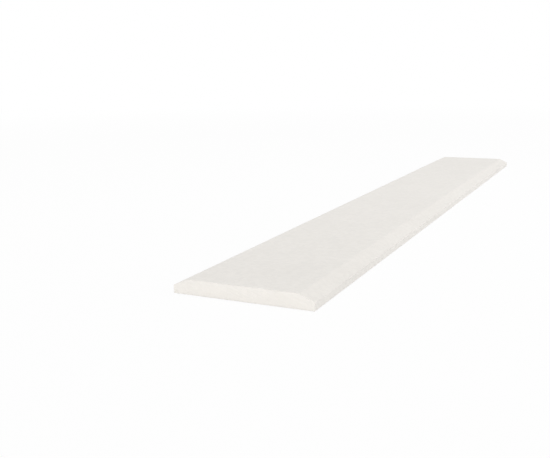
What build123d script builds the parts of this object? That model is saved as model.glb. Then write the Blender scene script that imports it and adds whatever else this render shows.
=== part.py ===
# Threshold saddle: one bar of white stone that lies across a doorway and bridges two floors.
# The walking face is flat in the middle, and both long edges slope down to a low upright nose.
# X runs along the length, Y crosses the saddle from room to room, and Z is up.
# The origin is the middle of the underside. All sizes are in millimetres.

import os

from build123d import *

# The bar
length = 914.4
width = 127.0
thickness = 13.0

# The two sloped edges, measured level and upright
bevel_run = 13.0
bevel_drop = 6.0

# Small rounds that take the sharpness off the ground edges
crown_round = 1.5
nose_round = 0.6

# Small chamfers that keep the bedding edges and the sawn ends from chipping
foot_chamfer = 0.5
end_chamfer = 0.3

nose_height = thickness - bevel_drop

with BuildPart() as saddle:
    # Half the section is drawn at one sawn end, mirrored, and run along the whole length
    with BuildSketch(Plane.YZ.offset(-length / 2)):
        with BuildLine():
            Polyline(
                (0, 0),
                (width / 2, 0),
                (width / 2, nose_height),
                (width / 2 - bevel_run, thickness),
                (0, thickness),
            )
            mirror(about=Plane.YZ)
        make_face()
    extrude(amount=length)

    # From the underside up, the long edges are the feet, the noses and the crowns
    feet, noses, crowns = saddle.edges().filter_by(Axis.X).group_by(Axis.Z)
    fillet(crowns, radius=crown_round)
    fillet(noses, radius=nose_round)
    chamfer(feet, length=foot_chamfer)

    # The sawn ends have their whole outline eased
    sawn_ends = saddle.faces().filter_by(Axis.X)
    chamfer(sawn_ends.edges(), length=end_chamfer)

saddle.part.label = "saddle"

os.makedirs("parts", exist_ok=True)
export_step(saddle.part, "parts/saddle.step")
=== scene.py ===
# Threshold saddle: a straight bar of white stone whose two long edges slope down to low upright noses.
# It lies along X on a white studio floor, and the camera looks at it from near its -X end.

import math

import bpy
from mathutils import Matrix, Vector


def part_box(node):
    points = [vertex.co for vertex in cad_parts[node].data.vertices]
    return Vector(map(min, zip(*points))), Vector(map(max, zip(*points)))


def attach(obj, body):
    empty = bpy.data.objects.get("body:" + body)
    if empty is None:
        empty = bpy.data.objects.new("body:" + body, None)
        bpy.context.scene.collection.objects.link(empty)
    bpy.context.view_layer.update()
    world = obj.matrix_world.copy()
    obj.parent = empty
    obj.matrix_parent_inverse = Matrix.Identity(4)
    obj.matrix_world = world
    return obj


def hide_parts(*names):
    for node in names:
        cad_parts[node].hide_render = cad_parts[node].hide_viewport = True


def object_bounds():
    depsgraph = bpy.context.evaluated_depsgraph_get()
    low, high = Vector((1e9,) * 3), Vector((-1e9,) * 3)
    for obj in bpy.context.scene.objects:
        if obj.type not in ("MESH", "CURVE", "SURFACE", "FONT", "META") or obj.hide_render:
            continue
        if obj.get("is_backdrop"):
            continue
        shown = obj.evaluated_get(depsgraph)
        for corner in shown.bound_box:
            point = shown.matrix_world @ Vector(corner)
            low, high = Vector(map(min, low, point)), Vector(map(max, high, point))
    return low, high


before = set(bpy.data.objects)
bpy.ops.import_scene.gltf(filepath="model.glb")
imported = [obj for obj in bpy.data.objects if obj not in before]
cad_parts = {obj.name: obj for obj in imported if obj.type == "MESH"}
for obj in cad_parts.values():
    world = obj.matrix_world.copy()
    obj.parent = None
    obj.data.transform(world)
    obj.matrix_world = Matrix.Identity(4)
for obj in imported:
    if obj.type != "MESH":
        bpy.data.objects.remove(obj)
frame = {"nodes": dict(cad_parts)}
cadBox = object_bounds()
print("frame loaded:", ", ".join(frame["nodes"]))


# Node trees, written as Python expressions

class Wire:
    # An output of a node. Arithmetic and comparisons on wires add Math nodes to their tree.
    def __init__(self, tree, socket):
        self.tree = tree
        self.socket = socket

    def maths(self, operation, *values):
        return self.tree.add("ShaderNodeMath", {"operation": operation}, dict(enumerate(values)))

    def __add__(self, other):
        return self.maths("ADD", self, other)

    def __radd__(self, other):
        return self.maths("ADD", other, self)

    def __sub__(self, other):
        return self.maths("SUBTRACT", self, other)

    def __rsub__(self, other):
        return self.maths("SUBTRACT", other, self)

    def __mul__(self, other):
        return self.maths("MULTIPLY", self, other)

    def __rmul__(self, other):
        return self.maths("MULTIPLY", other, self)

    def __truediv__(self, other):
        return self.maths("DIVIDE", self, other)

    def __pow__(self, other):
        return self.maths("POWER", self, other)

    def __gt__(self, other):
        return self.maths("GREATER_THAN", self, other)

    def __lt__(self, other):
        return self.maths("LESS_THAN", self, other)

    def __neg__(self):
        return self.maths("MULTIPLY", self, -1)

    def __abs__(self):
        return self.maths("ABSOLUTE", self)

    def __round__(self):
        return self.maths("ROUND", self)

    def sign(self):
        return self.maths("SIGN", self)

    def atMost(self, limit):
        return self.maths("MINIMUM", self, limit)

    def atLeast(self, limit):
        return self.maths("MAXIMUM", self, limit)

    def centred(self):
        # A pattern that runs from 0 to 1, moved to lie about 0
        return self - 0.5

    def part(self, name):
        # Another output of the same node
        return Wire(self.tree, self.socket.node.outputs[name])

    def axes(self):
        # The three numbers of a vector
        split = self.tree.add("ShaderNodeSeparateXYZ", {}, {"Vector": self})
        return split.part("X"), split.part("Y"), split.part("Z")


class Tree:
    # A node tree that grows by add()
    def __init__(self, nodeTree):
        self.nodeTree = nodeTree

    def add(self, kind, settings, inputs):
        # A new node: its settings first, then a value or a wire for each socket, by name or number
        node = self.nodeTree.nodes.new(kind)
        for name, value in settings.items():
            setattr(node, name, value)
        for name, value in inputs.items():
            if isinstance(name, int):
                socket = node.inputs[name]
            else:
                socket = next(entry for entry in node.inputs if entry.enabled and entry.name == name)
            if isinstance(value, Wire):
                self.nodeTree.links.new(value.socket, socket)
            else:
                socket.default_value = value
        results = [entry for entry in node.outputs if entry.enabled]
        return Wire(self, results[0]) if results else None

    def vector(self, x, y, z):
        return self.add("ShaderNodeCombineXYZ", {}, {"X": x, "Y": y, "Z": z})


# The camera, fitted to the outline of the bar in the photo's frame of 550 by 458 pixels

view = {
    "place": (-0.9595, -0.2729, 0.18065),  # metres
    "turn": (77.957, 0.862, -64.445),  # degrees
    "sensor": 36,  # millimetres, as is the lens
    "lens": 49.073,
}


def placeCamera():
    lens = bpy.data.cameras.new("camera")
    lens.sensor_width = view["sensor"]
    lens.lens = view["lens"]
    camera = bpy.data.objects.new("camera", lens)
    camera.location = view["place"]
    camera.rotation_euler = [math.radians(angle) for angle in view["turn"]]
    bpy.context.scene.collection.objects.link(camera)
    bpy.context.scene.camera = camera


placeCamera()
print("camera placed")


# The stone: broad clouds, small grains and single crystals, all of them faint

stone = {
    "dark": (0.757, 0.731, 0.690, 1),  # both colours are linear
    "light": (0.869, 0.839, 0.795, 1),
    "cloudSize": 0.050,  # metres, as are the next three
    "grainSize": 0.0040,
    "crystalSize": 0.0015,
    "reliefSize": 0.0012,
    "cloudDetail": 5,
    "cloudRoughness": 0.6,
    "reliefDetail": 3,
    "clouds": 0.50,  # how far this and the next three move the tone
    "grains": 0.30,
    "crystals": 0.22,
    "specks": 0.60,
    "speckShare": 0.25,  # one grain in four has a dark speck at its heart
    "speckWidth": 0.45,  # as a part of the grain's size
    "ior": 1.5,
}


def newMaterial(name):
    material = bpy.data.materials.new(name)
    material.use_nodes = True
    material.node_tree.nodes.clear()
    return material, Tree(material.node_tree)


def stonePattern(tree, place):
    # The mottling, about 0 in the mean, and the random value of each crystal
    clouds = tree.add(
        "ShaderNodeTexNoise",
        {},
        {
            "Vector": place,
            "Scale": 1 / stone["cloudSize"],
            "Detail": stone["cloudDetail"],
            "Roughness": stone["cloudRoughness"],
        },
    )
    grains = tree.add("ShaderNodeTexVoronoi", {}, {"Vector": place, "Scale": 1 / stone["grainSize"]})
    crystals = tree.add("ShaderNodeTexVoronoi", {}, {"Vector": place, "Scale": 1 / stone["crystalSize"]})
    grain, chance, _ = grains.part("Color").axes()
    crystal, _, _ = crystals.part("Color").axes()
    speck = (1 - grains / (stone["speckWidth"] / 2)).atLeast(0) * (chance < stone["speckShare"])
    mottling = stone["clouds"] * clouds.centred() + stone["grains"] * grain.centred()
    return mottling + stone["crystals"] * crystal.centred() - stone["specks"] * speck, crystal


def makeStone(name, finish, marks):
    # marks(tree, x, y, z) gives the height of what the tool left on the face, from 0 to 1
    material, tree = newMaterial(name)
    place = tree.add("ShaderNodeTexCoord", {}, {}).part("Object")
    mottling, crystal = stonePattern(tree, place)
    markHeight = marks(tree, *place.axes())
    tone = finish["tone"] + finish["contrast"] * mottling + finish["markTone"] * markHeight.centred()
    colour = tree.add(
        "ShaderNodeMix",
        {"data_type": "RGBA"},
        {"Factor": tone, "A": stone["dark"], "B": stone["light"]},
    )
    relief = tree.add(
        "ShaderNodeTexNoise",
        {},
        {"Vector": place, "Scale": 1 / stone["reliefSize"], "Detail": stone["reliefDetail"]},
    )
    grainBump = tree.add(
        "ShaderNodeBump",
        {},
        {"Strength": 1, "Distance": finish["grainDepth"], "Height": relief},
    )
    markBump = tree.add(
        "ShaderNodeBump",
        {},
        {"Strength": 1, "Distance": finish["markDepth"], "Height": markHeight, "Normal": grainBump},
    )
    surface = tree.add(
        "ShaderNodeBsdfPrincipled",
        {},
        {
            "Base Color": colour,
            "Roughness": finish["roughness"] + finish["glint"] * crystal.centred(),
            "IOR": stone["ior"],
            "Normal": markBump,
        },
    )
    tree.add("ShaderNodeOutputMaterial", {}, {"Surface": surface})
    return material


# Honed faces: ground smooth and matt, with faint rubbing lines along the length

honed = {
    "roughness": 0.44,
    "glint": 0.10,  # how far single crystals are rougher or smoother than that
    "tone": 0.47,  # from dark at 0 to light at 1
    "contrast": 1.0,  # of the mottling
    "grainDepth": 0.00002,  # metres
    "markDepth": 0.00002,
    "markTone": 0.10,  # how far the marks move the tone
}
rubbing = {"spacing": 0.0025, "length": 0.12, "detail": 2}


def rubbingLines(tree, x, y, z):
    stretched = tree.vector(x / rubbing["length"], y / rubbing["spacing"], z / rubbing["spacing"])
    return tree.add(
        "ShaderNodeTexNoise",
        {},
        {"Vector": stretched, "Scale": 1, "Detail": rubbing["detail"]},
    )


# Sawn ends: a round blade ran across the bar, and its teeth left slanting arcs

sawn = {
    "roughness": 0.62,
    "glint": 0.08,
    "tone": 0.62,
    "contrast": 0.5,
    "grainDepth": 0.00003,
    "markDepth": 0.00025,
    "markTone": 0.35,
}
blade = {
    "radius": 0.175,
    "below": 0.004,  # how far the blade reached under the bar
    "spacing": 0.005,
    "detail": 2,
}


def bladeArcs(tree, x, y, z):
    # Each arc is the same circle, moved on along Y with the blade
    hubHeight = blade["radius"] - blade["below"]
    ahead = (blade["radius"] ** 2 - (hubHeight - z) ** 2) ** 0.5
    return tree.add(
        "ShaderNodeTexNoise",
        {"noise_dimensions": "1D"},
        {"W": (y - ahead) / blade["spacing"], "Scale": 1, "Detail": blade["detail"]},
    )


# Sawn underside: a straight saw ran along the whole length and left deeper marks

sawnUnder = {**sawn, "markDepth": 0.0006, "markTone": 1.0}
strokes = {
    "spacing": 0.003,
    "drift": 0.01,  # how far the strokes wander across, for each metre along
    "detail": 3,
}


def straightStrokes(tree, x, y, z):
    return tree.add(
        "ShaderNodeTexNoise",
        {"noise_dimensions": "1D"},
        {"W": (y + strokes["drift"] * x) / strokes["spacing"], "Scale": 1, "Detail": strokes["detail"]},
    )


finishes = {
    "Honed Stone": makeStone("honed stone", honed, rubbingLines),
    "Sawn Ends": makeStone("sawn stone ends", sawn, bladeArcs),
    "Sawn Underside": makeStone("sawn stone underside", sawnUnder, straightStrokes),
}
print("stone made:", ", ".join(finishes))


# The bar: six corners, eased and swept along X, with both ends eased and closed

bar = {
    "Bevel Run": 0.013,  # all sizes in metres
    "Bevel Drop": 0.006,
    "Crown Round": 0.0015,
    "Nose Round": 0.0006,
    "Foot Chamfer": 0.0005,
    "End Chamfer": 0.0003,
    "Round Steps": 6,  # facets in each round
    "Ring Step": 0.010,  # about how far apart the rings of the mesh are
}

# A face looks along an axis where that part of its normal passes one of these
facing = {
    "squarely": 0.9,  # the flat faces alone
    "partly": 0.3,  # chamfers too
}


def sectionCurve(tree, size):
    # Counter-clockwise from the foot on +Y: foot, nose and crown, then crown, nose and foot on -Y
    cornerCount = 6
    last = cornerCount - 1
    index = tree.add("GeometryNodeInputIndex", {}, {})
    fromFoot = index.atMost(last - index)  # 0 at a foot, 1 at a nose and 2 at a crown
    isRaised = fromFoot > 0.5
    isCrown = fromFoot > 1.5
    across = (last / 2 - index).sign() * (size["Width"] / 2 - size["Bevel Run"] * isCrown)
    up = isRaised * (size["Thickness"] - size["Bevel Drop"]) + isCrown * size["Bevel Drop"]
    ring = tree.add("GeometryNodeCurvePrimitiveCircle", {}, {"Resolution": cornerCount})
    corners = tree.add(
        "GeometryNodeSetPosition",
        {},
        {"Geometry": ring, "Position": tree.vector(across, up, 0)},
    )
    easing = (
        size["Foot Chamfer"]
        + isRaised * (size["Nose Round"] - size["Foot Chamfer"])
        + isCrown * (size["Crown Round"] - size["Nose Round"])
    )
    facets = 1 + isRaised * (size["Round Steps"] - 1)
    return tree.add(
        "GeometryNodeFilletCurve",
        {"mode": "POLY"},
        {"Curve": corners, "Radius": easing, "Count": facets},
    )


def railCurve(tree, size, pitch, cells):
    # A ring stands at each end chamfer, and the one beyond it is pulled back to the sawn end
    half = size["Length"] / 2
    reach = half - size["End Chamfer"] + pitch
    line = tree.add(
        "GeometryNodeCurvePrimitiveLine",
        {},
        {"Start": tree.vector(-reach, 0, 0), "End": tree.vector(reach, 0, 0)},
    )
    ringCount = cells + 1 + 2  # one more than the cells, and one at each sawn end
    rings = tree.add("GeometryNodeResampleCurve", {}, {"Curve": line, "Count": ringCount})
    x, _, _ = tree.add("GeometryNodeInputPosition", {}, {}).axes()
    inside = tree.vector(x.atLeast(-half).atMost(half), 0, 0)
    return tree.add("GeometryNodeSetPosition", {}, {"Geometry": rings, "Position": inside})


def onFaces(tree, value):
    # A vector that varies over the points, averaged on each face
    return tree.add(
        "GeometryNodeFieldOnDomain",
        {"domain": "FACE", "data_type": "FLOAT_VECTOR"},
        {"Value": value},
    )


def bakeMap(tree, size, isEnd, looksDown):
    # Two rows, one for each half of the length, each with the upper faces laid out flat and the underside
    # beside them, and the two ends in a last row
    gap = 0.004  # metres left free beside each of them
    half = size["Length"] / 2
    upperHeight = size["Width"] + 2 * size["Thickness"]
    rowHeight = upperHeight + size["Width"] + 2 * gap
    position = tree.add("GeometryNodeInputPosition", {}, {})
    x, y, z = position.axes()
    faceX, _, _ = onFaces(tree, position).axes()
    isFar = faceX > 0  # the half of the length at +X
    isLong = 1 - isEnd
    alongLength = x + half * (1 - isFar)
    alongEnd = y + size["Width"] / 2 + isFar * (size["Width"] + gap)
    upper = upperHeight / 2 + y + y.sign() * (size["Thickness"] - z)
    under = upperHeight + gap + size["Width"] / 2 + y
    aroundBar = upper + looksDown * (under - upper) + isFar * rowHeight
    aroundEnd = 2 * rowHeight + z
    u = (isLong * alongLength + isEnd * alongEnd) / half
    v = (isLong * aroundBar + isEnd * aroundEnd) / (2 * rowHeight + size["Thickness"])
    return tree.vector(u, v, 0)


def barTree(inputs):
    socketKinds = {
        float: "NodeSocketFloat",
        int: "NodeSocketInt",
        bpy.types.Material: "NodeSocketMaterial",
    }
    group = bpy.data.node_groups.new("double bevel bar", "GeometryNodeTree")
    for label, value in inputs.items():
        group.interface.new_socket(name=label, in_out="INPUT", socket_type=socketKinds[type(value)])
    group.interface.new_socket(name="Bar", in_out="OUTPUT", socket_type="NodeSocketGeometry")
    tree = Tree(group)
    entry = tree.add("NodeGroupInput", {}, {})
    size = {label: entry.part(label) for label in inputs}

    # An even number of cells, so that a ring stands in the middle of the length
    inner = size["Length"] - 2 * size["End Chamfer"]
    cells = 2 * round(inner / size["Ring Step"] / 2)
    pitch = inner / cells

    # The sweep lays a section upside down on a rail along X, and half a turn of tilt rights it
    rail = tree.add(
        "GeometryNodeSetCurveTilt",
        {},
        {"Curve": railCurve(tree, size, pitch, cells), "Tilt": math.pi},
    )
    swept = tree.add(
        "GeometryNodeCurveToMesh",
        {},
        {"Curve": rail, "Profile Curve": sectionCurve(tree, size), "Fill Caps": True},
    )

    # The two end rings shrink by the chamfer, square to the outline of the section
    normal = tree.add("GeometryNodeInputNormal", {}, {})
    x, _, _ = tree.add("GeometryNodeInputPosition", {}, {}).axes()
    _, normalY, normalZ = normal.axes()
    outward = tree.add(
        "ShaderNodeVectorMath",
        {"operation": "NORMALIZE"},
        {0: tree.vector(0, normalY, normalZ)},
    )
    inset = tree.add(
        "ShaderNodeVectorMath",
        {"operation": "SCALE"},
        {"Vector": outward, "Scale": -size["End Chamfer"]},
    )
    isEndRing = abs(x) > (size["Length"] - size["End Chamfer"]) / 2
    eased = tree.add(
        "GeometryNodeSetPosition",
        {},
        {"Geometry": swept, "Selection": isEndRing, "Offset": inset},
    )

    # Only the facets of the rounds are shaded smooth, and they are narrower than the foot chamfer
    faceNormalX, _, faceNormalZ = onFaces(tree, normal).axes()
    area = tree.add("GeometryNodeInputMeshFaceArea", {}, {})
    isRound = (area < pitch * size["Foot Chamfer"]) * (abs(faceNormalX) < facing["partly"])
    shaded = tree.add("GeometryNodeSetShadeSmooth", {}, {"Geometry": eased, "Shade Smooth": isRound})

    isEnd = abs(faceNormalX) > facing["squarely"]
    looksDown = faceNormalZ < -facing["partly"]
    mapped = tree.add(
        "GeometryNodeStoreNamedAttribute",
        {"data_type": "FLOAT2", "domain": "CORNER"},
        {"Geometry": shaded, "Name": "OFBake", "Value": bakeMap(tree, size, isEnd, looksDown)},
    )
    result = tree.add("GeometryNodeRealizeInstances", {}, {"Geometry": mapped})
    isUnderside = faceNormalZ < -facing["squarely"]
    selections = {"Honed Stone": True, "Sawn Ends": isEnd, "Sawn Underside": isUnderside}
    for label, selection in selections.items():
        result = tree.add(
            "GeometryNodeSetMaterial",
            {},
            {"Geometry": result, "Selection": selection, "Material": size[label]},
        )
    tree.add("NodeGroupOutput", {}, {"Bar": result})
    return group


def makeBar():
    low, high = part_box("saddle")
    length, width, thickness = high - low
    inputs = {"Length": length, "Width": width, "Thickness": thickness, **bar, **finishes}
    blank = bpy.data.meshes.new("blank")  # only carries the tree
    saddle = bpy.data.objects.new("threshold_saddle", blank)
    bpy.context.scene.collection.objects.link(saddle)
    modifier = saddle.modifiers.new("bar", "NODES")
    modifier.node_group = barTree(inputs)
    for entry in modifier.node_group.interface.items_tree:
        if entry.in_out == "INPUT":
            modifier[entry.identifier] = inputs[entry.name]
    evaluated = saddle.evaluated_get(bpy.context.evaluated_depsgraph_get())
    saddle.data = bpy.data.meshes.new_from_object(evaluated)
    saddle.data.name = "threshold_saddle"
    saddle.modifiers.remove(modifier)
    bpy.data.meshes.remove(blank)
    return saddle


saddle = makeBar()
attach(saddle, "root")
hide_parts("saddle")
print("bar made:", len(saddle.data.polygons), "faces")


# The studio: a white floor that keeps a faint shadow, a white surround, a softbox and two low cards

floor = {
    "reach": 6.0,  # metres from the middle to each side
    "below": 0.0001,  # how far under the bar it lies
    "colour": (0.93, 0.93, 0.93, 1),
    "glow": 0.92,  # how much of the floor that is seen is plain white, beside the bar
    "fadeFrom": 0.5,  # metres from the middle, where plain white begins to take over
    "fadeTo": 3.0,
}
surround = {
    "fill": 0.60,  # the light that it gives from all sides
    "white": 1.0,  # how bright it is where it is seen
}

# Places, aims and widths in metres. A low card that the stone mirrored would bleach its top, seen from
# across it towards the card.
lamps = {
    "overhead softbox": {
        "place": (0.1, 0, 2.2),
        "aim": (0.1, 0, 0),
        "width": 1.4,
        "level": 0.31,
        "mirrored": True,
    },
    "front card": {
        "place": (-2.9, 0, 0.26),
        "aim": (-0.4, 0, 0),
        "width": 0.5,
        "level": 0.33,
        "mirrored": False,
    },
    "right card": {
        "place": (0.3, -2.41, 0.65),
        "aim": (0.3, 0, 0),
        "width": 1.4,
        "level": 0.235,
        "mirrored": False,
    },
}


def seenDirectly(tree):
    # 1 where the camera looks, straight or by way of a reflection or glass
    path = tree.add("ShaderNodeLightPath", {}, {})
    rays = path.part("Is Camera Ray") + path.part("Is Glossy Ray") + path.part("Is Transmission Ray")
    return rays.atMost(1)


def makeFloor():
    material, tree = newMaterial("studio floor")
    place = tree.add("ShaderNodeTexCoord", {}, {}).part("Object")
    distance = tree.add("ShaderNodeVectorMath", {"operation": "LENGTH"}, {0: place})
    glow = tree.add(
        "ShaderNodeMapRange",
        {"interpolation_type": "SMOOTHSTEP"},
        {
            "Value": distance,
            "From Min": floor["fadeFrom"],
            "From Max": floor["fadeTo"],
            "To Min": floor["glow"],
            "To Max": 1,
        },
    )
    painted = tree.add("ShaderNodeBsdfDiffuse", {}, {"Color": floor["colour"]})
    white = tree.add("ShaderNodeEmission", {}, {"Strength": surround["white"]})
    surface = tree.add("ShaderNodeMixShader", {}, {0: seenDirectly(tree) * glow, 1: painted, 2: white})
    tree.add("ShaderNodeOutputMaterial", {}, {"Surface": surface})

    reach = floor["reach"]
    height = cadBox[0][2] - floor["below"]
    corners = [(x * reach, y * reach, height) for x, y in ((-1, -1), (1, -1), (1, 1), (-1, 1))]
    mesh = bpy.data.meshes.new("studio_floor")
    mesh.from_pydata(corners, [], [(0, 1, 2, 3)])
    mesh.materials.append(material)
    plane = bpy.data.objects.new("studio_floor", mesh)
    bpy.context.scene.collection.objects.link(plane)
    plane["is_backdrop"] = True


def makeSurround():
    world = bpy.data.worlds.new("studio")
    world.use_nodes = True
    world.node_tree.nodes.clear()
    tree = Tree(world.node_tree)
    fill = tree.add("ShaderNodeBackground", {}, {"Color": (1, 1, 1, 1), "Strength": surround["fill"]})
    white = tree.add("ShaderNodeBackground", {}, {"Color": (1, 1, 1, 1), "Strength": surround["white"]})
    surface = tree.add("ShaderNodeMixShader", {}, {0: seenDirectly(tree), 1: fill, 2: white})
    tree.add("ShaderNodeOutputWorld", {}, {"Surface": surface})
    bpy.context.scene.world = world


def addLamp(name, lamp):
    # The level is how bright a white card would be at the aim, facing the lamp
    place = Vector(lamp["place"])
    ray = Vector(lamp["aim"]) - place
    light = bpy.data.lights.new(name, "AREA")
    light.shape = "DISK"
    light.size = lamp["width"]
    light.energy = lamp["level"] * (math.pi * ray.length) ** 2
    lampObject = bpy.data.objects.new(name, light)
    lampObject.location = place
    lampObject.rotation_euler = ray.to_track_quat("-Z", "Y").to_euler()
    lampObject.visible_camera = False
    lampObject.visible_glossy = lamp["mirrored"]
    bpy.context.scene.collection.objects.link(lampObject)


makeFloor()
makeSurround()
for name, lamp in lamps.items():
    addLamp(name, lamp)
bpy.context.scene.view_settings.view_transform = "Standard"
print("studio lit")

boxes = {"cad": cadBox, "visual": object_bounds()}
{name: [list(corner) for corner in box] for name, box in boxes.items()}
